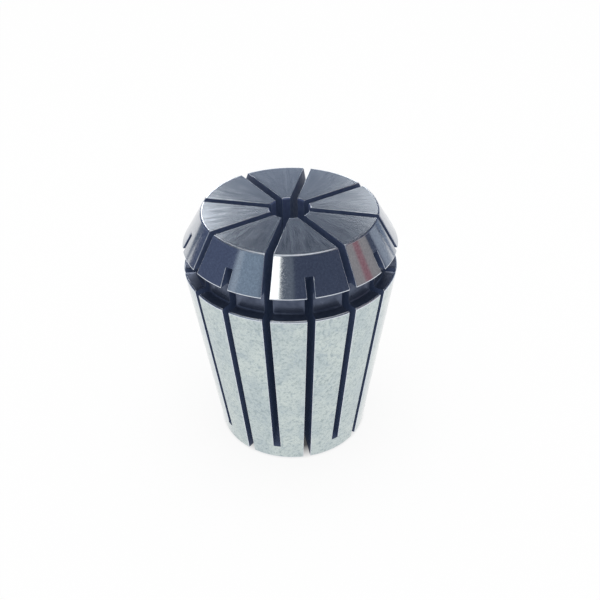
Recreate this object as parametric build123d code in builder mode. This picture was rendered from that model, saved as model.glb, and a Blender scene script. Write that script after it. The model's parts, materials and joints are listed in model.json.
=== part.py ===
from build123d import *
from math import radians, sqrt, tan
import os

# Spring collet, size 32, for a 6 mm shank: one piece of spring steel that is
# turned, slotted from both ends, hardened and ground. It stands on its back face
# with its mouth up. Z is its axis, z = 0 is the back face, and sizes are in mm.

# Outside, from the mouth to the back
length = 40.0  # over both ends
rim_d = 33.0  # across the rim, and across the wide end of the seat taper
nose_length = 5.5  # of the cone that the clamping nut presses on
nose_half_angle = 30.0
groove_width = 3.6  # snap groove for the nut's ring
groove_depth = 1.9  # of that groove, below the rim
seat_half_angle = 8.0  # taper that seats in the tool holder

# Bore
bore_d = 6.0  # ground to grip the shank
land_length = 16.0  # how far the gripping bore runs back from the mouth
relief_d = 10.0  # clearance drilled from the back up to the gripping bore
drill_half_angle = 59.0  # of the cone that the drill's point leaves

# Slots: one set opens at the mouth and one at the back, and they alternate
slot_count = 8  # in each set
slot_width = 1.15
back_web = 2.7  # left uncut behind the mouth slots, measured at the outside
nose_web = 2.7  # left uncut in front of the back slots, measured at the outside
saw_d = 63.0  # slitting saw, fed in from the side and then along the axis
saw_stop = 0.5  # how near the saw's edge comes to the axis

# Edges
face_edge = 0.2  # around the mouth's face
rim_edge = 0.25  # where the nose cone meets the groove
seat_edge = 0.3  # where the groove meets the seat taper
back_edge = 0.2  # around the back face
mouth_edge = 0.2  # lead-in at the mouth of the bore
relief_edge = 0.5  # lead-in at the back of the clearance bore
groove_corner_r = 0.3  # left by the turning tool in the groove's two corners

# Radii and heights that follow from these
rim_r = rim_d / 2
groove_r = rim_r - groove_depth
bore_r = bore_d / 2
relief_r = relief_d / 2
rim_z = length - nose_length
seat_top_z = rim_z - groove_width
land_z = length - land_length
relief_z = land_z - (relief_r - bore_r) / tan(radians(drill_half_angle))
nose_slope = tan(radians(nose_half_angle))
seat_slope = tan(radians(seat_half_angle))
face_r = rim_r - nose_length * nose_slope
back_r = rim_r - seat_top_z * seat_slope


def saw_cut(end_r, end_z, open_z):
    """One slot on the +X side, as the solid that the slitting saw sweeps.

    The slot is open at open_z. At its other end the saw meets the outside of the
    collet at radius end_r and height end_z, and from there its rim leads away
    towards the bore, so the slot is longest at the outside.
    """
    saw_r = saw_d / 2
    saw_x = saw_stop + saw_r
    way_out = 1 if open_z > end_z else -1
    saw_z = end_z + way_out * sqrt(saw_r**2 - (saw_x - end_r) ** 2)
    travel = way_out * (open_z - saw_z) + slot_width
    with BuildPart() as cut:
        with BuildSketch(Plane.XZ):
            with Locations((saw_x, saw_z)):
                Circle(saw_r)
            with Locations((saw_x, saw_z + way_out * travel / 2)):
                Rectangle(saw_d, travel)
        extrude(amount=slot_width / 2, both=True)
    return cut.part


def ring(radius, height):
    """The collet's turned edge at this radius and height."""
    circles = collet.edges().filter_by(GeomType.CIRCLE)
    return circles.sort_by_distance((radius, 0, height))[:1]


mouth_slot = saw_cut(back_r + back_web * seat_slope, back_web, length)
back_slot = saw_cut(face_r + nose_web * nose_slope, length - nose_web, 0)

with BuildPart() as collet:
    # Turned blank: half of its section, less half of the bore's, spun about Z
    with BuildSketch(Plane.XZ):
        with BuildLine():
            Polyline(
                (0, 0),
                (back_r, 0),
                (rim_r, seat_top_z),
                (groove_r, seat_top_z),
                (groove_r, rim_z),
                (rim_r, rim_z),
                (face_r, length),
                (0, length),
                close=True,
            )
        make_face()
        with BuildLine():
            Polyline(
                (0, 0),
                (relief_r, 0),
                (relief_r, relief_z),
                (bore_r, land_z),
                (bore_r, length),
                (0, length),
                close=True,
            )
        make_face(mode=Mode.SUBTRACT)
    revolve(axis=Axis.Z)

    # Tool radii in the groove, then the broken edges from the mouth to the back
    fillet(ring(groove_r, rim_z) + ring(groove_r, seat_top_z), groove_corner_r)
    chamfer(ring(face_r, length), face_edge)
    chamfer(ring(rim_r, rim_z), rim_edge)
    chamfer(ring(rim_r, seat_top_z), seat_edge)
    chamfer(ring(back_r, 0), back_edge)
    chamfer(ring(bore_r, length), mouth_edge)
    chamfer(ring(relief_r, 0), relief_edge)

    # Slots sawn from the mouth, then from the back, half a step round from them
    with PolarLocations(0, slot_count):
        add(mouth_slot, mode=Mode.SUBTRACT)
    with PolarLocations(0, slot_count, start_angle=180 / slot_count):
        add(back_slot, mode=Mode.SUBTRACT)

collet.part.label = "collet"
os.makedirs("parts", exist_ok=True)
export_step(collet.part, "parts/collet.step")
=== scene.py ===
# %% [markdown]
# # A spring collet on a white table
#
# A spring collet is the steel sleeve that holds a round tool shank in a milling
# spindle. A nut presses its coned nose, its long taper wedges into the holder, and
# sixteen saw slots let the whole sleeve close on the shank. It is one piece of steel,
# but not one surface: the taper is ground, the nose is polished, the mouth's face is
# turned, and the groove and the slots keep the dark skin that hardening left.
#
# The CAD model gives the exact form as loose triangles. For the looks, this script
# builds the same form again with clean rows of faces, softly broken edges and a name
# for each finish, and lets that piece stand for the CAD node.

# %% Load the frame
import json
import math

import bmesh
import bpy
from mathutils import Matrix, Vector


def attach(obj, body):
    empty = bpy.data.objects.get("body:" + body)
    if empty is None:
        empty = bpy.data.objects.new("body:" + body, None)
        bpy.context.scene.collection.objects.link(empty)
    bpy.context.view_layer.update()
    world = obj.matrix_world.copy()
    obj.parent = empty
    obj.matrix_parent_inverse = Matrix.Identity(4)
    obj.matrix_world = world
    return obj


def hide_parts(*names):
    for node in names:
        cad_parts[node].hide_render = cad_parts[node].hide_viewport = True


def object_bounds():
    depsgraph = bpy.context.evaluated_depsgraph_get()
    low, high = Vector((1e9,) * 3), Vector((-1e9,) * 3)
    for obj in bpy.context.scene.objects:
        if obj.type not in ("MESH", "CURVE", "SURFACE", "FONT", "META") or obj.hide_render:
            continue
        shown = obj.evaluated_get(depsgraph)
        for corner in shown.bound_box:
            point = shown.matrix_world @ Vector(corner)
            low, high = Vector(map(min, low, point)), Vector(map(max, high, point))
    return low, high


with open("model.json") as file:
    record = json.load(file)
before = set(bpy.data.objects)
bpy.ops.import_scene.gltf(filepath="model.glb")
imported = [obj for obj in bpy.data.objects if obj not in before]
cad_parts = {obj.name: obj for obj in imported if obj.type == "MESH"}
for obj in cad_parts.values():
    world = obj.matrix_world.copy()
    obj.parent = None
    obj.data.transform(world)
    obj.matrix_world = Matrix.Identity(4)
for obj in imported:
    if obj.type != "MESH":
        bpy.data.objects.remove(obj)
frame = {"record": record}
cad_low, cad_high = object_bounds()
print("CAD box in mm:", [round(1000 * v, 2) for v in (*cad_low, *cad_high)])

# %% [markdown]
# ## Sizes
#
# Every length below is in millimetres, as on a maker's drawing, and `MM` turns it into
# Blender's metres. The length and the bore come from the frame, so the piece can't
# drift away from the CAD model.

# %% Sizes
MM = 0.001
LENGTH = (cad_high[2] - cad_low[2]) / MM
MOUNTS = {mount["name"]: mount for mount in frame["record"]["mounts"]}
BORE_R = MOUNTS["shank_bore"]["dims"]["r_mm"]
RIM_R = 16.5  # to the sharp corners of the nose cone and of the seat taper
NOSE_LENGTH = 5.5
GROOVE_WIDTH = 3.6
GROOVE_DEPTH = 1.9
GROOVE_R = RIM_R - GROOVE_DEPTH
LAND_LENGTH = 16.0
RELIEF_R = 5.0
NOSE_SLOPE = math.tan(math.radians(30))
SEAT_SLOPE = math.tan(math.radians(8))
DRILL_SLOPE = math.tan(math.radians(59))  # half the angle of a steel drill's point
RIM_Z = LENGTH - NOSE_LENGTH
SEAT_TOP_Z = RIM_Z - GROOVE_WIDTH
LAND_Z = LENGTH - LAND_LENGTH
RELIEF_Z = LAND_Z - (RELIEF_R - BORE_R) / DRILL_SLOPE
FACE_R = RIM_R - NOSE_LENGTH * NOSE_SLOPE
BACK_R = RIM_R - SEAT_TOP_Z * SEAT_SLOPE
SLOTS = 8  # in each of the two sets
SLOT_HALF = 0.575  # half the width that the saw leaves
WEB = 2.7  # left uncut past the end of each slot, on the outside
SAW_R = 31.5
SAW_STOP = 0.5  # how near the saw's rim comes to the axis
SAW_X = SAW_R + SAW_STOP
TILE_ANGLE = math.radians(180 / SLOTS)

# %% [markdown]
# ## The half section
#
# A turned part is a profile spun about its axis, so the profile comes first: a closed
# loop of corners, from the back face, up the outside, over the mouth and down the bore.
# Real corners are never sharp. Each is replaced by a small arc, and it is these arcs,
# a few tenths of a millimetre wide, that draw the bright lines around the metal. A Bevel
# modifier could round them later, but here every corner has a size of its own.

# %% Corners of the section
# radius, height, how far the arc starts from the corner, finish of the arc and of the
# side after it. The bore's mouth has a flat lead-in, so it has two corners.
LEAD_IN = 0.2
CORNERS = [
    (RELIEF_R, 0, 0.5, "broken_edge", "turned_face"),
    (BACK_R, 0, 0.2, "broken_edge", "ground_seat"),
    (RIM_R, SEAT_TOP_Z, 0.3, "broken_edge", "dark_groove"),
    (GROOVE_R, SEAT_TOP_Z, 0.3, "dark_groove", "dark_groove"),
    (GROOVE_R, RIM_Z, 0.3, "dark_groove", "dark_groove"),
    (RIM_R, RIM_Z, 0.25, "broken_edge", "polished_nose"),
    (FACE_R, LENGTH, 0.2, "broken_edge", "turned_face"),
    (BORE_R + LEAD_IN, LENGTH, 0.05, "broken_edge", "honed_bore_painted_shade"),
    (BORE_R, LENGTH - LEAD_IN, 0.03, "honed_bore_painted_shade", "honed_bore_painted_shade"),
    (BORE_R, LAND_Z, 0, "dark_bore", "dark_bore"),
    (RELIEF_R, RELIEF_Z, 0, "dark_bore", "dark_bore"),
]
ARC_STEPS = 5


def rounded(before, corner, after, cut):
    """The arc that replaces a corner, starting the same length from it on both sides."""
    if cut == 0:
        return [corner]
    back = (before - corner).normalized()
    on = (after - corner).normalized()
    half = back.angle(on) / 2
    centre = corner + (back + on).normalized() * cut / math.cos(half)
    sweep = math.copysign(math.pi - 2 * half, back.x * on.y - back.y * on.x)
    start = corner + back * cut - centre
    turns = [Matrix.Rotation(-sweep * k / ARC_STEPS, 2) for k in range(ARC_STEPS + 1)]
    return [centre + turn @ start for turn in turns]


def section():
    """The section's loop as a list of (point, finish of the side that leaves it)."""
    loop = []
    for k, (r, z, cut, edge, finish) in enumerate(CORNERS):
        before = Vector(CORNERS[k - 1][:2])
        after = Vector(CORNERS[(k + 1) % len(CORNERS)][:2])
        arc = rounded(before, Vector((r, z)), after, cut)
        loop += [(point, edge) for point in arc[:-1]]
        loop.append((arc[-1], finish))
    return loop


print("points in the section:", len(section()))

# %% [markdown]
# ## The slots
#
# A slitting saw cuts each slot. It comes in from the side and runs along the axis to the
# open end, so the slot's other end is an arc of the saw: longest on the outside, and
# shorter at the bore. A Boolean could cut the slots out of the turned body, but it leaves
# ragged faces that can't be given an even edge. So the slots are worked out first: the
# test below tells which points of the section the saw reaches.

# %% The saw's two places
MOUTH_END = Vector((BACK_R + WEB * SEAT_SLOPE, WEB))
BACK_END = Vector((FACE_R + WEB * NOSE_SLOPE, LENGTH - WEB))


class Slot:
    """One slot of a set: side is 1 for the mouth slots and -1 for the back slots."""

    def __init__(self, side, end):
        rise = math.sqrt(SAW_R**2 - (SAW_X - end.x) ** 2)
        self.side = side
        self.saw = Vector((SAW_X, end.y + side * rise))

    def reaches(self, point):
        past = self.side * (point.y - self.saw.y) > 0
        return past or (point - self.saw).length < SAW_R


SLOT_SETS = [Slot(1, MOUTH_END), Slot(-1, BACK_END)]
print("heights at which the saw's middle stops:", [round(slot.saw.y, 2) for slot in SLOT_SETS])
HALVINGS = 50


def crossing(slot, near, far):
    """Where the saw's arc cuts the straight side between two points, by halving."""
    low, high = 0.0, 1.0
    for _ in range(HALVINGS):
        middle = (low + high) / 2
        same = slot.reaches(near.lerp(far, middle)) == slot.reaches(near)
        low, high = (middle, high) if same else (low, middle)
    return near.lerp(far, low)


# %% [markdown]
# A slot's broken edge fades out towards its end. Shading is blended between the points
# of a face, so a long face that starts at the slot's end would carry the tilt of that
# small edge far along the metal. One more point just past the end stops it there.

# %% Points where the section meets a slot's end
EDGE_FADE = 0.25
EDGE_STOP = 0.06


def with_crossings(loop):
    """The same loop, with points added wherever it enters or leaves a slot."""
    full = []
    for k, (here, finish) in enumerate(loop):
        there = loop[(k + 1) % len(loop)][0]
        along = (there - here).normalized()
        full.append((here, finish, None))
        for slot in SLOT_SETS:
            if slot.reaches(here) == slot.reaches(there):
                continue
            cut = crossing(slot, here, there)
            before, past = (EDGE_FADE, EDGE_STOP) if slot.reaches(here) else (EDGE_STOP, EDGE_FADE)
            full.append((cut - along * before, finish, None))
            full.append((cut, finish, slot))
            full.append((cut + along * past, finish, None))
    return full


loop = with_crossings(section())
print("with the slots' ends:", len(loop))

# %% [markdown]
# ## One sixteenth of the collet
#
# The collet repeats every 45 degrees, and each 45 degrees is its own mirror image. So
# only a tile of 22.5 degrees is built face by face: from the middle of a mouth slot to the
# middle of the back slot beside it. Its skin is the section swept over that angle, less
# the slots. Flat walls close it towards the slots, with a rounded edge between.

# %% Rows of points across the tile
SKIN_STEPS = 12
WEB_STEPS = 4
EDGE_STEPS = 3
EDGE = 0.08  # radius of a slot's broken edge outside
BORE_EDGE = 0.01  # in the bore, where the tile is 0.02 wider than its two half slots
BORE_REACH = RELIEF_R + 0.6  # edges nearer the axis than this belong to the bore


def beside(slot, r, across, z):
    """The point at radius r that lies a distance across from a slot's middle plane."""
    spot = Vector((math.sqrt(r * r - across * across), slot.side * across, z))
    if slot.side < 0:
        spot.rotate(Matrix.Rotation(TILE_ANGLE, 3, "Z"))
    return spot * MM


def edge_radius(slot, point, at):
    """How far the slot's edge is rounded at a point of the section."""
    if at is slot or not slot.reaches(point):
        return 0.0
    return BORE_EDGE if point.x < BORE_REACH else EDGE


def outward(k):
    """The outward normal at point k, long enough to keep offset sides parallel."""
    here, last, following = loop[k][0], loop[k - 1][0], loop[(k + 1) % len(loop)][0]
    normals = [Vector((d.y, -d.x)).normalized() for d in (here - last, following - here)]
    middle = (normals[0] + normals[1]).normalized()
    return middle / middle.dot(normals[0])


def skin_row(k):
    """The tile's points at point k of the section, from one slot to the other."""
    point, _, at = loop[k]
    ends = []
    for slot in SLOT_SETS:
        across = SLOT_HALF + edge_radius(slot, point, at)
        ends.append(math.asin(across / point.x))
    first, last = ends[0], TILE_ANGLE - ends[1]
    angles = [first + (last - first) * j / SKIN_STEPS for j in range(SKIN_STEPS + 1)]
    return [Vector((point.x * math.cos(a), point.x * math.sin(a), point.y)) * MM for a in angles]


def web_row(k, slot):
    """The points from a slot's middle plane to where its wall would be."""
    point = loop[k][0]
    steps = range(WEB_STEPS + 1)
    return [beside(slot, point.x, SLOT_HALF * j / WEB_STEPS, point.y) for j in steps]


def edge_row(k, slot):
    """The rounded edge between the skin and a slot's wall, ending on the wall."""
    point, _, at = loop[k]
    radius = edge_radius(slot, point, at)
    row = []
    for j in range(EDGE_STEPS + 1):
        turn = math.pi / 2 * j / EDGE_STEPS
        inset = point - outward(k) * radius * (1 - math.cos(turn))
        across = SLOT_HALF + radius * (1 - math.sin(turn))
        row.append(beside(slot, inset.x, across, inset.y))
    return row


# %% [markdown]
# The rows are now joined into faces. A face that comes out inside out would shade dark,
# so each is given the way it must look and is turned if needed.
# Each also carries the number of its finish, which outlives the copying and welding
# that follow, where a material slot would have to be set up again.

# %% Faces of the tile
FINISHES = [
    "ground_seat",
    "polished_nose",
    "turned_face",
    "honed_bore_painted_shade",
    "dark_groove",
    "dark_bore",
    "sawn_slot",
    "broken_edge",
]
tile = bmesh.new()
finish_of = tile.faces.layers.int.new("finish")


def add_face(spots, toward, finish):
    """One face that looks the given way, marked with its finish."""
    face = tile.faces.new([tile.verts.new(spot) for spot in spots])
    face.normal_update()
    if face.normal.dot(toward) < 0:
        face.normal_flip()
    face[finish_of] = FINISHES.index(finish)
    face.smooth = True


def add_strip(row, next_row, toward, finish):
    """The faces between two rows of points."""
    for j in range(len(row) - 1):
        add_face([row[j], row[j + 1], next_row[j + 1], next_row[j]], toward, finish)


def turned(slot, x, y, z):
    """A direction given beside a slot, in the tile's own directions."""
    way = Vector((x, y, z))
    if slot.side < 0:
        way.rotate(Matrix.Rotation(TILE_ANGLE, 3, "Z"))
    return way


def is_open(k, slot):
    """Whether the slot's edge has any width at point k of the section."""
    point, _, at = loop[k]
    return at is not slot and slot.reaches(point)


for k, (point, finish, at) in enumerate(loop):
    following = (k + 1) % len(loop)
    side = (loop[following][0] - point).normalized()
    out = Vector((side.y * math.cos(TILE_ANGLE / 2), side.y * math.sin(TILE_ANGLE / 2), -side.x))
    add_strip(skin_row(k), skin_row(following), out, finish)
    for slot in SLOT_SETS:
        if is_open(k, slot) or is_open(following, slot):
            toward = out + turned(slot, 0, -slot.side, 0)
            edge = finish if finish.startswith("dark") else "broken_edge"
            add_strip(edge_row(k, slot), edge_row(following, slot), toward, edge)
        else:
            add_strip(web_row(k, slot), web_row(following, slot), out, finish)
print("faces in the skin:", len(tile.faces))

# %% [markdown]
# ## Walls and ends of the slots
#
# A slot's wall is one flat face with many corners: it follows the broken edge on the
# outside and the saw's arc at the end. The arc itself is a row of narrow faces, because
# it is the one curved surface inside a slot.

# %% Walls and ends of the slots
ARC_ROWS = 24
SHARP = math.radians(40)


def saw_row(slot, angle):
    """The points across half a slot where the saw's rim stood at this angle."""
    x = slot.saw.x + SAW_R * math.cos(angle)
    z = slot.saw.y + SAW_R * math.sin(angle)
    across = [SLOT_HALF * j / WEB_STEPS for j in range(WEB_STEPS + 1)]
    return [beside(slot, math.hypot(x, y), y, z) for y in across]


def slot_wall(slot):
    """A slot's flat wall, and half of the arc that the saw left at its end."""
    count = len(loop)
    ends = [k for k in range(count) if loop[k][2] is slot]
    start = next(k for k in ends if is_open((k + 1) % count, slot))
    stop = next(k for k in ends if k != start)
    walk = [(start + step) % count for step in range((stop - start) % count + 1)]
    rim = [edge_row(k, slot)[-1] for k in walk]
    arc = [loop[stop][0] - slot.saw, loop[start][0] - slot.saw]
    first, last = [math.atan2(way.y, way.x) % math.tau for way in arc]
    rows = [web_row(stop, slot)]
    for step in range(1, ARC_ROWS):
        rows.append(saw_row(slot, first + (last - first) * step / ARC_ROWS))
    rows.append(web_row(start, slot))
    inward = -(arc[0] + arc[1])
    for row, next_row in zip(rows, rows[1:]):
        add_strip(row, next_row, turned(slot, inward.x, 0, inward.y), "sawn_slot")
    outline = rim + [row[-1] for row in rows[1:-1]]
    add_face(outline, turned(slot, 0, -slot.side, 0), "sawn_slot")


for slot in SLOT_SETS:
    slot_wall(slot)
TILE_WELD = 1e-8  # metres
bmesh.ops.remove_doubles(tile, verts=tile.verts, dist=TILE_WELD)
EDGE_NUMBER = FINISHES.index("broken_edge")
for edge in tile.edges:
    if len(edge.link_faces) == 2:
        marks = [face[finish_of] for face in edge.link_faces]
        at_border = marks[0] != marks[1] and EDGE_NUMBER in marks
        edge.smooth = not (at_border or edge.calc_face_angle() > SHARP)
tile_mesh = bpy.data.meshes.new("collet_tile")
tile.to_mesh(tile_mesh)
tile.free()
print("faces in the tile:", len(tile_mesh.polygons))

# %% [markdown]
# ## Helpers for nodes
#
# Materials, the world and the tree that repeats the tile are all graphs of nodes. One
# small function adds a node, sets it up and links it, so that the rest of the script
# reads as a list of what each graph does. Colours are written as sRGB hex, as a colour
# picker shows them, and one function turns them into the linear values of a renderer.


# %% Helpers for nodes
def add_node(tree, kind, links=(), values=(), **settings):
    """Add a node with its settings, the values of its sockets and the links into it."""
    node = tree.nodes.new(kind)
    for key, value in settings.items():
        setattr(node, key, value)
    for socket, value in dict(values).items():
        node.inputs[socket].default_value = value
    for socket, source in dict(links).items():
        for output in source if isinstance(source, list) else [source]:
            tree.links.new(output, node.inputs[socket])
    return node


def linear(hex_colour):
    """An sRGB hex colour as linear red, green, blue and alpha."""
    values = [int(hex_colour[k : k + 2], 16) / 255 for k in (1, 3, 5)]
    return (*[v / 12.92 if v <= 0.04045 else ((v + 0.055) / 1.055) ** 2.4 for v in values], 1.0)


# %% [markdown]
# ## Finishes
#
# All of it is one hardened spring steel, so every finish is a metal with the same
# colour family, and what tells them apart is how the surface was cut. Turning, facing
# and grinding all leave marks that run round the axis. So the patterns read the object's
# own position as a lathe does: how far out, how far round and how far along.


# %% Position on the lathe
def lathe_position(tree):
    """Position in mm, and the radius in mm and the turn in radians that follow from it."""
    place = add_node(tree, "ShaderNodeTexCoord").outputs["Object"]
    in_mm = add_node(
        tree, "ShaderNodeVectorMath", {0: place}, {"Scale": 1 / MM}, operation="SCALE"
    )
    point = in_mm.outputs["Vector"]
    parts = add_node(tree, "ShaderNodeSeparateXYZ", {"Vector": point}).outputs
    flat = add_node(tree, "ShaderNodeCombineXYZ", {"X": parts["X"], "Y": parts["Y"]}).outputs[0]
    radius = add_node(tree, "ShaderNodeVectorMath", {0: flat}, operation="LENGTH").outputs["Value"]
    turn = add_node(tree, "ShaderNodeMath", {0: parts["Y"], 1: parts["X"]}, operation="ARCTAN2")
    return {
        "point": point,
        "radius": radius,
        "turn": turn.outputs["Value"],
        "height": parts["Z"],
        "outward": flat,
    }


def new_steel(name, roughness, anisotropic=0.0):
    """A metal material, with its tree and its shader node.

    The roughness given here is the mean one, and most finishes vary it over the surface.
    """
    material = bpy.data.materials.new(name)
    material.use_nodes = True
    tree = material.node_tree
    surface = tree.nodes["Principled BSDF"]
    surface.inputs["Metallic"].default_value = 1.0
    surface.inputs["Roughness"].default_value = roughness
    surface.inputs["Anisotropic"].default_value = anisotropic
    return material, tree, surface


def tool_marks(tree, surface, lathe, pitch, drift, depth):
    """Fine lines round the axis, this far apart and this deep in mm, cut into a surface.

    The pattern is a noise that changes fast along the axis and slowly round it.
    """
    slow = add_node(
        tree, "ShaderNodeVectorMath", {0: lathe["point"]}, {1: (drift, drift, 0)}, operation="MULTIPLY"
    )
    steps = add_node(
        tree, "ShaderNodeMath", {0: lathe["height"]}, {1: 1 / pitch}, operation="MULTIPLY"
    )
    fast = add_node(tree, "ShaderNodeCombineXYZ", {"Z": steps.outputs[0]})
    place = add_node(tree, "ShaderNodeVectorMath", {0: slow.outputs[0], 1: fast.outputs[0]})
    lines = add_node(
        tree,
        "ShaderNodeTexNoise",
        {"Vector": place.outputs[0]},
        {"Scale": 1.0, "Detail": 3.0, "Roughness": 0.6},
    )
    cut = add_node(tree, "ShaderNodeBump", {"Height": lines.outputs["Fac"]}, {"Distance": depth * MM})
    tree.links.new(cut.outputs["Normal"], surface.inputs["Normal"])


MATERIALS = {}  # by the name of the finish

# %% [markdown]
# ### Ground seat
#
# The long taper seats in the holder, so it is cylindrically ground after hardening. A
# ground surface is a mass of fine scratches round the axis, and on a used collet it is
# also clouded and smudged by oil, and specked where it has rubbed in its seat. The
# scratches could be modelled as lines, but they are finer than a pixel, so most of them
# go into the roughness and only a trace into the bump. The clouds, smudges and specks
# are noises at the size that they have on the metal. Towards the outline the taper is
# seen almost edge-on and reflects more, as any metal does. The shader's own rise comes
# too late for a rough surface, so a painted sheen leads the colour to white by the angle
# of view.


# %% Ground seat
def ground_seat():
    """Cylindrically ground spring steel: pale and satin, with cloudy handling marks and a painted
    sheen towards the outline.
    """
    material, tree, surface = new_steel("ground_spring_steel", 0.3)
    lathe = lathe_position(tree)
    place = {"Vector": lathe["point"]}
    cloud_size = 5.0
    smudge_size = 1.3
    speck_size = 0.5
    clouds = add_node(
        tree, "ShaderNodeTexNoise", place, {"Scale": 1 / cloud_size, "Detail": 4.0, "Distortion": 0.6}
    )
    smudges = add_node(
        tree, "ShaderNodeTexNoise", place, {"Scale": 1 / smudge_size, "Detail": 5.0, "Distortion": 2.5}
    )
    specks = add_node(
        tree, "ShaderNodeTexNoise", place, {"Scale": 1 / speck_size, "Detail": 4.0, "Roughness": 0.75}
    )
    cloudy = add_node(
        tree,
        "ShaderNodeMapRange",
        {"Value": clouds.outputs["Fac"]},
        {"From Min": 0.38, "From Max": 0.62, "To Min": 0.0, "To Max": 1.0},
    )
    tone = add_node(
        tree,
        "ShaderNodeMix",
        {0: cloudy.outputs["Result"]},
        {6: linear("#C0CCCE"), 7: linear("#CED8D6")},
        data_type="RGBA",
    )
    smudged = add_node(
        tree,
        "ShaderNodeMapRange",
        {"Value": smudges.outputs["Fac"]},
        {"From Min": 0.52, "From Max": 0.68, "To Min": 0.0, "To Max": 0.55},
    )
    oily = add_node(
        tree,
        "ShaderNodeMix",
        {0: smudged.outputs["Result"], 6: tone.outputs[2]},
        {7: linear("#A3B2BC")},
        data_type="RGBA",
    )
    specked = add_node(
        tree,
        "ShaderNodeMapRange",
        {"Value": specks.outputs["Fac"]},
        {"From Min": 0.36, "From Max": 0.5, "To Min": 0.55, "To Max": 0.0},
    )
    worn = add_node(
        tree,
        "ShaderNodeMix",
        {0: specked.outputs["Result"], 6: oily.outputs[2]},
        {7: linear("#8C9CA0")},
        data_type="RGBA",
    )
    # Painted sheen: 0 where the taper faces the eye, 1 at its outline, where the colour goes to white
    facing = add_node(tree, "ShaderNodeLayerWeight", values={"Blend": 0.5})
    grazing_sheen = add_node(
        tree,
        "ShaderNodeMapRange",
        {"Value": facing.outputs["Facing"]},
        {"From Min": 0.72, "From Max": 1.0, "To Min": 0.0, "To Max": 0.9},
    )
    painted_sheen = add_node(
        tree,
        "ShaderNodeMix",
        {0: grazing_sheen.outputs["Result"], 6: worn.outputs[2]},
        {7: linear("#FFFFFF")},
        data_type="RGBA",
    )
    tree.links.new(painted_sheen.outputs[2], surface.inputs["Base Color"])
    satin = add_node(
        tree,
        "ShaderNodeMapRange",
        {"Value": smudges.outputs["Fac"]},
        {"From Min": 0.3, "From Max": 0.7, "To Min": 0.24, "To Max": 0.36},
    )
    tree.links.new(satin.outputs["Result"], surface.inputs["Roughness"])
    # Grinding scratches are about 0.02 mm apart; they are drawn at 0.15 mm to show at all
    tool_marks(tree, surface, lathe, pitch=0.15, drift=0.15, depth=0.0008)
    return material


MATERIALS["ground_seat"] = ground_seat()

# %% [markdown]
# ### Polished nose
#
# The nut slides on the nose cone each time it is tightened, which keeps it the smoothest
# surface here. It is nearly a mirror, so it shows the room more than itself. A perfect
# mirror would look like chrome. A few hairlines round the axis and a faint unevenness of
# gloss make it steel.


# %% Polished nose
def polished_nose():
    """Fine ground and polished spring steel: close to a mirror, with faint hairlines."""
    material, tree, surface = new_steel("polished_spring_steel", 0.12)
    lathe = lathe_position(tree)
    grit_size = 0.3
    grit = add_node(
        tree,
        "ShaderNodeTexNoise",
        {"Vector": lathe["point"]},
        {"Scale": 1 / grit_size, "Detail": 3.0, "Roughness": 0.7},
    )
    tone = add_node(
        tree,
        "ShaderNodeMapRange",
        {"Value": grit.outputs["Fac"]},
        {"From Min": 0.35, "From Max": 0.65, "To Min": 0.0, "To Max": 1.0},
    )
    colour = add_node(
        tree,
        "ShaderNodeMix",
        {0: tone.outputs["Result"]},
        {6: linear("#B2B5BC"), 7: linear("#C8CCD2")},
        data_type="RGBA",
    )
    tree.links.new(colour.outputs[2], surface.inputs["Base Color"])
    gloss = add_node(
        tree,
        "ShaderNodeMapRange",
        {"Value": grit.outputs["Fac"]},
        {"From Min": 0.3, "From Max": 0.7, "To Min": 0.08, "To Max": 0.16},
    )
    tree.links.new(gloss.outputs["Result"], surface.inputs["Roughness"])
    # Polishing hairlines, drawn at 0.12 mm, which is several times their real spacing
    tool_marks(tree, surface, lathe, pitch=0.12, drift=0.1, depth=0.0003)
    return material


MATERIALS["polished_nose"] = polished_nose()

# %% [markdown]
# ### Turned faces
#
# The mouth's face and the back face are faced on a lathe, which leaves a spiral of rings
# too fine to see. Rings scatter light across themselves much more than along themselves,
# so a lamp shows as a bow tie: two bright sectors that turn as the light does. Drawn
# rings would only flicker, so the shader's anisotropy does it. It stretches a highlight
# along the tangent, and the tangent points straight out from the axis. The tool also
# chatters, and its shallow waves make the bow tie streaky.


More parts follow.
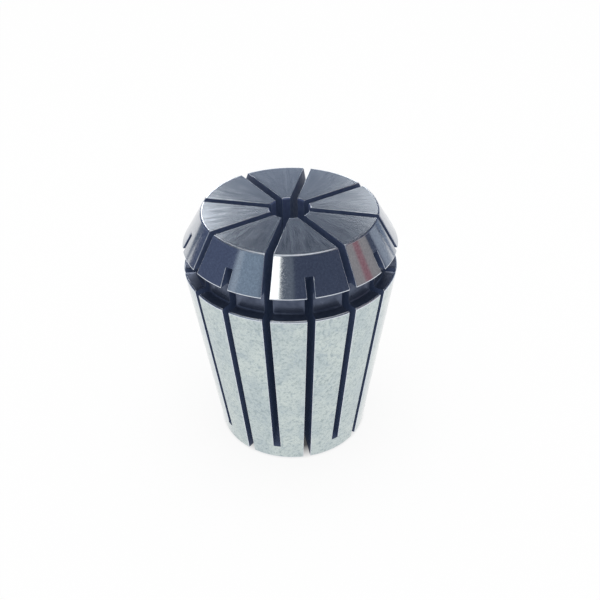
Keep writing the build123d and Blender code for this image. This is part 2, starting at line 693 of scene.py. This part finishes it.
# %% Turned faces
def turned_face():
    """Faced spring steel: unseen rings round the axis, and a streaky bow tie of light."""
    material, tree, surface = new_steel("faced_spring_steel", 0.24, anisotropic=0.5)
    lathe = lathe_position(tree)
    tree.links.new(lathe["outward"], surface.inputs["Tangent"])
    streaks_per_turn = 120
    streak_length = 4.0
    wave_depth = 0.0035
    turns = add_node(
        tree,
        "ShaderNodeMath",
        {0: lathe["turn"]},
        {1: streaks_per_turn / math.tau},
        operation="MULTIPLY",
    )
    outwards = add_node(
        tree, "ShaderNodeMath", {0: lathe["radius"]}, {1: 1 / streak_length}, operation="MULTIPLY"
    )
    spread = add_node(
        tree, "ShaderNodeCombineXYZ", {"X": turns.outputs[0], "Y": outwards.outputs[0]}
    )
    streaks = add_node(
        tree,
        "ShaderNodeTexNoise",
        {"Vector": spread.outputs[0]},
        {"Scale": 1.0, "Detail": 3.0, "Roughness": 0.6},
    )
    grain_size = 0.3
    grain = add_node(
        tree,
        "ShaderNodeTexNoise",
        {"Vector": lathe["point"]},
        {"Scale": 1 / grain_size, "Detail": 2.0, "Roughness": 0.7},
    )
    uneven = add_node(
        tree, "ShaderNodeMath", {0: grain.outputs["Fac"], 1: streaks.outputs["Fac"]}, operation="ADD"
    )
    tone = add_node(
        tree,
        "ShaderNodeMapRange",
        {"Value": uneven.outputs[0]},
        {"From Min": 0.65, "From Max": 1.35, "To Min": 0.0, "To Max": 1.0},
    )
    colour = add_node(
        tree,
        "ShaderNodeMix",
        {0: tone.outputs["Result"]},
        {6: linear("#ADB5BD"), 7: linear("#C6CCD2")},
        data_type="RGBA",
    )
    tree.links.new(colour.outputs[2], surface.inputs["Base Color"])
    rough = add_node(
        tree,
        "ShaderNodeMapRange",
        {"Value": streaks.outputs["Fac"]},
        {"From Min": 0.3, "From Max": 0.7, "To Min": 0.21, "To Max": 0.27},
    )
    tree.links.new(rough.outputs["Result"], surface.inputs["Roughness"])
    waves = add_node(
        tree, "ShaderNodeBump", {"Height": streaks.outputs["Fac"]}, {"Distance": wave_depth * MM}
    )
    tree.links.new(waves.outputs["Normal"], surface.inputs["Normal"])
    return material


MATERIALS["turned_face"] = turned_face()

# %% [markdown]
# ### Bore, groove and slots
#
# Hardening leaves a blue-black oxide on everything that is not ground afterwards. It is
# not a metal itself, so the thicker it is, the less metallic the surface looks. The
# groove keeps the rings of its turning tool, and the clearance bore those of its drill.
# The gripping bore is honed bare steel, and its dark blue-grey tone is painted shade, as
# little light gets down the bore. The slots are dull from the saw.
# All four are one recipe: a dark tone, a lighter one where the skin is thin, and the
# marks of the tool. A deep slot is never quite black to the eye, because the air and the
# lens add a trace of light. A painted glow stands for that: each dark finish gives off a
# trace of blue light of its own.


# %% Oxidised finishes, painted shade in the bore and a painted glow
PAINTED_GLOW = 0.06  # strength of the glow; 1 would show its colour in full
UNEVEN_ROUGHNESS = 0.08  # how far the patches lie above and below the mean


def oxide_shade_and_glow(name, tones, roughness, patch_size, metallic, glow_strength, marks=None):
    """Blue-black spring steel, lighter in patches where its dark skin is thin, with a painted glow; in
    the honed bore the dark tone is painted shade.
    """
    material, tree, surface = new_steel(name, roughness)
    surface.inputs["Metallic"].default_value = metallic
    # Painted glow: a trace of blue light of its own, standing in for haze and light bounced into the
    # deep slots
    surface.inputs["Emission Color"].default_value = linear("#5A7096")
    surface.inputs["Emission Strength"].default_value = glow_strength
    lathe = lathe_position(tree)
    patches = add_node(
        tree,
        "ShaderNodeTexNoise",
        {"Vector": lathe["point"]},
        {"Scale": 1 / patch_size, "Detail": 4.0, "Roughness": 0.6},
    )
    thin = add_node(
        tree,
        "ShaderNodeMapRange",
        {"Value": patches.outputs["Fac"]},
        {"From Min": 0.3, "From Max": 0.7, "To Min": 0.0, "To Max": 1.0},
    )
    colour = add_node(
        tree,
        "ShaderNodeMix",
        {0: thin.outputs["Result"]},
        {6: linear(tones[0]), 7: linear(tones[1])},
        data_type="RGBA",
    )
    tree.links.new(colour.outputs[2], surface.inputs["Base Color"])
    uneven = add_node(
        tree,
        "ShaderNodeMapRange",
        {"Value": patches.outputs["Fac"]},
        {
            "From Min": 0.3,
            "From Max": 0.7,
            "To Min": roughness + UNEVEN_ROUGHNESS,
            "To Max": roughness - UNEVEN_ROUGHNESS,
        },
    )
    tree.links.new(uneven.outputs["Result"], surface.inputs["Roughness"])
    if marks:
        pitch, depth = marks
        tool_marks(tree, surface, lathe, pitch=pitch, drift=0.04, depth=depth)
    return material


# The grooving tool feeds 0.1 mm a turn; its rings are drawn at 0.25 mm
MATERIALS["dark_groove"] = oxide_shade_and_glow(
    "oxidised_turned_steel", ("#454D60", "#5E6678"), 0.34, 1.5, 0.8, PAINTED_GLOW / 2, marks=(0.25, 0.015)
)
# Smooth enough that no tool mark is left to see; its dark tone is painted shade of the deep bore
MATERIALS["honed_bore_painted_shade"] = oxide_shade_and_glow(
    "honed_steel_painted_shade", ("#4A5578", "#5C6788"), 0.35, 0.8, 0.4, PAINTED_GLOW
)
# A drill's corners leave rings at its feed, about 0.15 mm; they are drawn at 0.3 mm
MATERIALS["dark_bore"] = oxide_shade_and_glow(
    "oxidised_drilled_steel", ("#3A4664", "#4A5674"), 0.5, 1.2, 0.3, PAINTED_GLOW, marks=(0.3, 0.01)
)
# The dullest: thick oxide over fine saw marks
MATERIALS["sawn_slot"] = oxide_shade_and_glow(
    "oxidised_sawn_steel", ("#3E4A68", "#525E7C"), 0.55, 0.7, 0.2, PAINTED_GLOW
)

# %% [markdown]
# ### Broken edges
#
# A stone or a brush takes the burrs off last of all, so the edges are bright metal
# against the dark oxide. They are narrow and round, and each shows a squeezed picture of
# the whole room, which is why they read as white lines. Lines painted on the sides would
# stay white in any light. These are faces of their own, so they flash and fade with it.


# %% Broken edges
def broken_edge():
    """Stoned edges: bright bare steel, a little worn."""
    material, tree, surface = new_steel("stoned_bright_steel", 0.3)
    lathe = lathe_position(tree)
    wear_size = 0.6
    wear = add_node(
        tree,
        "ShaderNodeTexNoise",
        {"Vector": lathe["point"]},
        {"Scale": 1 / wear_size, "Detail": 3.0, "Roughness": 0.6},
    )
    worn = add_node(
        tree,
        "ShaderNodeMapRange",
        {"Value": wear.outputs["Fac"]},
        {"From Min": 0.3, "From Max": 0.7, "To Min": 0.0, "To Max": 1.0},
    )
    colour = add_node(
        tree,
        "ShaderNodeMix",
        {0: worn.outputs["Result"]},
        {6: linear("#D2DAE6"), 7: linear("#ECF0F6")},
        data_type="RGBA",
    )
    tree.links.new(colour.outputs[2], surface.inputs["Base Color"])
    return material


MATERIALS["broken_edge"] = broken_edge()
print("materials:", [MATERIALS[name].name for name in FINISHES])

# %% [markdown]
# ## From the tile to the collet
#
# Geometry Nodes repeat the tile: mirror it, set the pair at every 45 degrees, weld the
# copies, and give each finish its material. Mirror and Array modifiers could do that too,
# but the tree has the number of sectors as a named input and dresses the faces as well.


# %% Tree that repeats the tile
def repeat_tree():
    """A tree that mirrors the tile, sets it round the axis, welds it and dresses it."""
    tree = bpy.data.node_groups.new("collet_from_tile", "GeometryNodeTree")
    interface = tree.interface
    interface.new_socket("Geometry", in_out="INPUT", socket_type="NodeSocketGeometry")
    interface.new_socket("Sectors", in_out="INPUT", socket_type="NodeSocketInt")
    interface.new_socket("Weld", in_out="INPUT", socket_type="NodeSocketFloat")
    interface.new_socket("Geometry", in_out="OUTPUT", socket_type="NodeSocketGeometry")
    given = add_node(tree, "NodeGroupInput").outputs
    half = given["Geometry"]
    sectors = given["Sectors"]
    # A negative scale turns the copy inside out, so its faces are flipped back
    mirrored = add_node(
        tree, "GeometryNodeTransform", {"Geometry": half}, {"Scale": (1, -1, 1)}
    ).outputs["Geometry"]
    outside_out = add_node(tree, "GeometryNodeFlipFaces", {"Mesh": mirrored}).outputs["Mesh"]
    sector = add_node(tree, "GeometryNodeJoinGeometry", {"Geometry": [half, outside_out]})
    points = add_node(tree, "GeometryNodePoints", {"Count": sectors})
    index = add_node(tree, "GeometryNodeInputIndex").outputs["Index"]
    step = add_node(tree, "ShaderNodeMath", {1: sectors}, {0: math.tau}, operation="DIVIDE")
    turn = add_node(
        tree, "ShaderNodeMath", {0: index, 1: step.outputs[0]}, operation="MULTIPLY"
    )
    rotation = add_node(tree, "ShaderNodeCombineXYZ", {"Z": turn.outputs[0]})
    placed = add_node(
        tree,
        "GeometryNodeInstanceOnPoints",
        {
            "Points": points.outputs["Points"],
            "Instance": sector.outputs["Geometry"],
            "Rotation": rotation.outputs["Vector"],
        },
    )
    real = add_node(
        tree, "GeometryNodeRealizeInstances", {"Geometry": placed.outputs["Instances"]}
    )
    welded = add_node(
        tree,
        "GeometryNodeMergeByDistance",
        {"Geometry": real.outputs["Geometry"], "Distance": given["Weld"]},
    )
    finish = add_node(
        tree, "GeometryNodeInputNamedAttribute", values={"Name": "finish"}, data_type="INT"
    ).outputs["Attribute"]
    shape = welded.outputs["Geometry"]
    for number, name in enumerate(FINISHES):
        chosen = add_node(
            tree,
            "FunctionNodeCompare",
            {2: finish},
            {3: number},
            data_type="INT",
            operation="EQUAL",
        )
        dressed = add_node(
            tree,
            "GeometryNodeSetMaterial",
            {"Geometry": shape, "Selection": chosen.outputs["Result"]},
            {"Material": MATERIALS[name]},
        )
        shape = dressed.outputs["Geometry"]
    add_node(tree, "NodeGroupOutput", {"Geometry": shape})
    return tree


# %% [markdown]
# The tree needs an object to work on, so the tile gets one for a moment. Its inputs are
# set by their identifiers, the result is taken out as a plain mesh, and the object goes.

# %% Make the collet
WELD = 1e-7  # metres
tile_mesh.materials.append(MATERIALS[FINISHES[0]])
maker = bpy.data.objects.new("collet_maker", tile_mesh)
bpy.context.scene.collection.objects.link(maker)
repeat = maker.modifiers.new("repeat", "NODES")
repeat.node_group = repeat_tree()
sockets = {}
for socket in repeat.node_group.interface.items_tree:
    if socket.in_out == "INPUT":
        sockets[socket.name] = socket.identifier
repeat[sockets["Sectors"]] = SLOTS
repeat[sockets["Weld"]] = WELD
shaped = maker.evaluated_get(bpy.context.evaluated_depsgraph_get())
mesh = bpy.data.meshes.new_from_object(shaped)
mesh.name = "collet_finished"
bpy.data.objects.remove(maker)
print("faces:", len(mesh.polygons), "materials:", [m.name for m in mesh.materials])

# %% [markdown]
# ## Even shading
#
# The flat and conical faces meet very small rounded ones. If each point took the plain
# average of the faces around it, the big faces would look swollen near their edges. The
# Weighted Normal modifier lets the big faces decide, and the sharp corners inside the
# slots stay sharp.

# %% Shade it and hand it over
collet = bpy.data.objects.new("collet_finished", mesh)
bpy.context.scene.collection.objects.link(collet)
weighted = collet.modifiers.new("even_shading", "WEIGHTED_NORMAL")
weighted.keep_sharp = True
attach(collet, "root")
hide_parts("collet")
mesh.calc_loop_triangles()
print("triangles:", len(mesh.loop_triangles))

# %% [markdown]
# ## Camera
#
# The camera stands close, above and in front, and leans over the collet, so the taper
# seems to narrow faster than it does and the round mouth is seen as a full ellipse.

# %% Camera
CAMERA_AZIMUTH = math.radians(-77.17)
CAMERA_ELEVATION = math.radians(36.16)
CAMERA_DISTANCE = 143.0
CAMERA_ROLL = -0.0126
AIM_RIGHT = 1.39
AIM_UP = 2.52
LENS = 52.77


def add_camera():
    """A camera at its distance from the middle of the collet, aimed just off it."""
    centre = Vector((0, 0, LENGTH / 2))
    out = Vector((math.cos(CAMERA_ELEVATION), 0, math.sin(CAMERA_ELEVATION)))
    out.rotate(Matrix.Rotation(CAMERA_AZIMUTH, 3, "Z"))
    right = Vector((0, 0, 1)).cross(out).normalized()
    up = out.cross(right)
    spot = centre + out * CAMERA_DISTANCE
    aim = centre + right * AIM_RIGHT + up * AIM_UP
    data = bpy.data.cameras.new("camera")
    data.lens = LENS
    data.sensor_width = 36.0
    data.clip_start = 5 * MM
    camera = bpy.data.objects.new("camera", data)
    look = (aim - spot).to_track_quat("-Z", "Y").to_matrix()
    look = look @ Matrix.Rotation(CAMERA_ROLL, 3, "Z")
    camera.matrix_world = Matrix.Translation(spot * MM) @ look.to_4x4()
    bpy.context.scene.collection.objects.link(camera)
    bpy.context.scene.camera = camera


add_camera()
spot = bpy.context.scene.camera.matrix_world.translation / MM
print("camera in mm:", [round(v, 1) for v in spot])

# %% [markdown]
# ## Table and background
#
# The collet stands on a plain white table before a plain white background. A lit table
# is never quite white in a render, so the camera is shown a table that is mostly its own
# white, with a little of the lit one mixed in to keep the soft shadow. Reflections get
# the same table, and every other ray meets an ordinary matt white surface. Hardly any
# light gets in under the collet, so there the table's own white fades out.

# %% Table and background
TABLE_OWN_WHITE = 0.9
SHADE_INSIDE = 9.5 * MM  # from the axis: full shade under the collet out to here
SHADE_OUTSIDE = 12.5 * MM  # and none from here on
SHADED_WHITE = 0.08  # what is left of the table's own white in full shade


def seen_directly(tree):
    """1 for the rays that show a background: camera, glossy and transmission rays."""
    path = add_node(tree, "ShaderNodeLightPath").outputs
    seen = add_node(
        tree,
        "ShaderNodeMath",
        {0: path["Is Camera Ray"], 1: path["Is Glossy Ray"]},
        operation="MAXIMUM",
    ).outputs[0]
    return add_node(
        tree, "ShaderNodeMath", {0: seen, 1: path["Is Transmission Ray"]}, operation="MAXIMUM"
    ).outputs[0]


def white_table():
    """Matt white board, shown to the camera and to reflections as nearly pure white."""
    material = bpy.data.materials.new("matt_white_board")
    material.use_nodes = True
    tree = material.node_tree
    lit = tree.nodes["Principled BSDF"]
    lit.inputs["Base Color"].default_value = linear("#FAFAFA")
    lit.inputs["Roughness"].default_value = 1.0
    lit.inputs["Specular IOR Level"].default_value = 0.0
    place = add_node(tree, "ShaderNodeTexCoord").outputs["Object"]
    reach = add_node(tree, "ShaderNodeVectorMath", {0: place}, operation="LENGTH")
    unshaded = add_node(
        tree,
        "ShaderNodeMapRange",
        {"Value": reach.outputs["Value"]},
        {
            "From Min": SHADE_INSIDE,
            "From Max": SHADE_OUTSIDE,
            "To Min": SHADED_WHITE,
            "To Max": 1.0,
        },
    )
    white = add_node(tree, "ShaderNodeEmission", {"Strength": unshaded.outputs["Result"]})
    share = add_node(
        tree, "ShaderNodeMath", {0: seen_directly(tree)}, {1: TABLE_OWN_WHITE}, operation="MULTIPLY"
    )
    mixed = add_node(
        tree, "ShaderNodeMixShader", {0: share.outputs[0], 1: lit.outputs[0], 2: white.outputs[0]}
    )
    tree.links.new(mixed.outputs[0], tree.nodes["Material Output"].inputs["Surface"])
    return material


def add_stage_object(name, corners, faces, material):
    """A plain object of the studio, which is not part of the collet."""
    data = bpy.data.meshes.new(name)
    data.from_pydata(corners, [], faces)
    data.materials.append(material)
    thing = bpy.data.objects.new(name, data)
    bpy.context.scene.collection.objects.link(thing)
    return thing


TABLE_HALF = 2.0  # metres
table_corners = [(x * TABLE_HALF, y * TABLE_HALF, 0) for x, y in ((-1, -1), (1, -1), (1, 1), (-1, 1))]
add_stage_object("table", table_corners, [(0, 1, 2, 3)], white_table())

WORLD_LIGHT = 0.65
world = bpy.data.worlds.new("white_room")
bpy.context.scene.world = world
world.use_nodes = True
room = world.node_tree
light = room.nodes["Background"]
light.inputs["Color"].default_value = (1, 1, 1, 1)
light.inputs["Strength"].default_value = WORLD_LIGHT
background = add_node(room, "ShaderNodeBackground", values={"Color": (1, 1, 1, 1), "Strength": 1.0})
chosen_room = add_node(
    room,
    "ShaderNodeMixShader",
    {0: seen_directly(room), 1: light.outputs[0], 2: background.outputs[0]},
)
room.links.new(chosen_room.outputs[0], room.nodes["World Output"].inputs["Surface"])
bpy.context.scene.view_settings.view_transform = "Standard"
print("table across, in metres:", 2 * TABLE_HALF, "world light:", WORLD_LIGHT)

# %% [markdown]
# ## The studio, as the metal sees it
#
# Bright metal has hardly any look of its own: it shows what stands around it. In an all
# white room it would look like white plastic. A photographer puts dark boards around it
# for contrast and small bright ones for highlights. These boards are curved cards that
# only reflections can see, so they shade nothing and hide nothing.

# %% Cards around the collet
CARD_R = 0.6  # metres
CARD_STEP = math.radians(3)


def card(name, turns, rises, colour, strength=1.0, distance=CARD_R):
    """A curved card between two turns from the camera and two elevations, in degrees."""
    material = bpy.data.materials.new(name)
    material.use_nodes = True
    tree = material.node_tree
    tree.nodes.remove(tree.nodes["Principled BSDF"])
    glow = add_node(
        tree, "ShaderNodeEmission", values={"Color": linear(colour), "Strength": strength}
    )
    tree.links.new(glow.outputs[0], tree.nodes["Material Output"].inputs["Surface"])
    first, last = [CAMERA_AZIMUTH + math.radians(turn) for turn in turns]
    heights = [LENGTH * MM + distance * math.tan(math.radians(rise)) for rise in rises]
    count = max(1, math.ceil((last - first) / CARD_STEP))
    corners = []
    for step in range(count + 1):
        angle = first + (last - first) * step / count
        spot = (distance * math.cos(angle), distance * math.sin(angle))
        corners += [(*spot, height) for height in heights]
    faces = [(2 * k, 2 * k + 2, 2 * k + 3, 2 * k + 1) for k in range(count)]
    thing = add_stage_object(name, corners, faces, material)
    thing.visible_camera = False
    thing.visible_diffuse = False
    thing.visible_transmission = False
    thing.visible_shadow = False


# Name, turns, elevations, colour, strength and distance; the nearer ones stand in front
card("dark_room", (-180, 180), (-3.8, 30), "#50596E")
card("dark_left", (-135, -62), (-3.8, 30), "#5E6984", 1.0, 0.59)
card("dark_ceiling", (-180, 180), (30, 60), "#20283A")
card("window", (-23, -12), (14, 40), "#FFFFF6", 2.5, 0.57)
card("window_glow", (-12, 3), (14, 40), "#747D8A", 1.0, 0.58)
card("blue_edge", (-63, -56), (10, 40), "#B4C2D0", 1.0, 0.57)
card("blue_side", (-56, -32), (10, 40), "#96A8BA", 1.0, 0.58)
card("warm_side", (64, 98), (4, 40), "#ACA8A8", 1.0, 0.58)
card("red_box", (78, 86), (4, 40), "#A87C84", 1.0, 0.56)
card("right_pale", (107, 121), (-3.8, 14), "#A6B0BE", 1.0, 0.58)
card("left_board", (-155, -122), (-7.6, 4), "#6C788C", 1.0, 0.3)
card("right_board", (122, 160), (-7.6, 4), "#7E8DA3", 1.0, 0.3)
card("back_wall", (171, 189), (-3.8, 24), "#DCE6F8", 1.2, 0.58)
card("left_lamp", (191, 200), (12, 35.5), "#FFFFFF", 6.2, 0.57)
card("right_lamp", (166, 172), (-3.8, 30.5), "#FFFFFF", 2.8, 0.57)

# %% [markdown]
# ## Light
#
# One large soft lamp overhead lights the table and gives the collet its soft shadow.
# Reflections leave it out: seen from above, it would turn the mouth's face into a blank
# white disc, and the white room above the cards is bright enough there.

# %% Lamp
SOFTBOX_SIDE = 0.5  # metres
SOFTBOX_HEIGHT = 0.8
SOFTBOX_RADIANCE = 3.4  # how bright its face is, where 1 is white
SOFTBOX_WATTS = SOFTBOX_RADIANCE * math.pi * SOFTBOX_SIDE**2


def add_softbox():
    """A square soft lamp over the table, looking down."""
    data = bpy.data.lights.new("softbox", "AREA")
    data.size = SOFTBOX_SIDE
    data.energy = SOFTBOX_WATTS
    lamp = bpy.data.objects.new("softbox", data)
    lamp.location = (0, 0, SOFTBOX_HEIGHT)
    lamp.visible_camera = False
    lamp.visible_glossy = False
    bpy.context.scene.collection.objects.link(lamp)


add_softbox()
print("softbox in watts:", round(SOFTBOX_WATTS, 2))
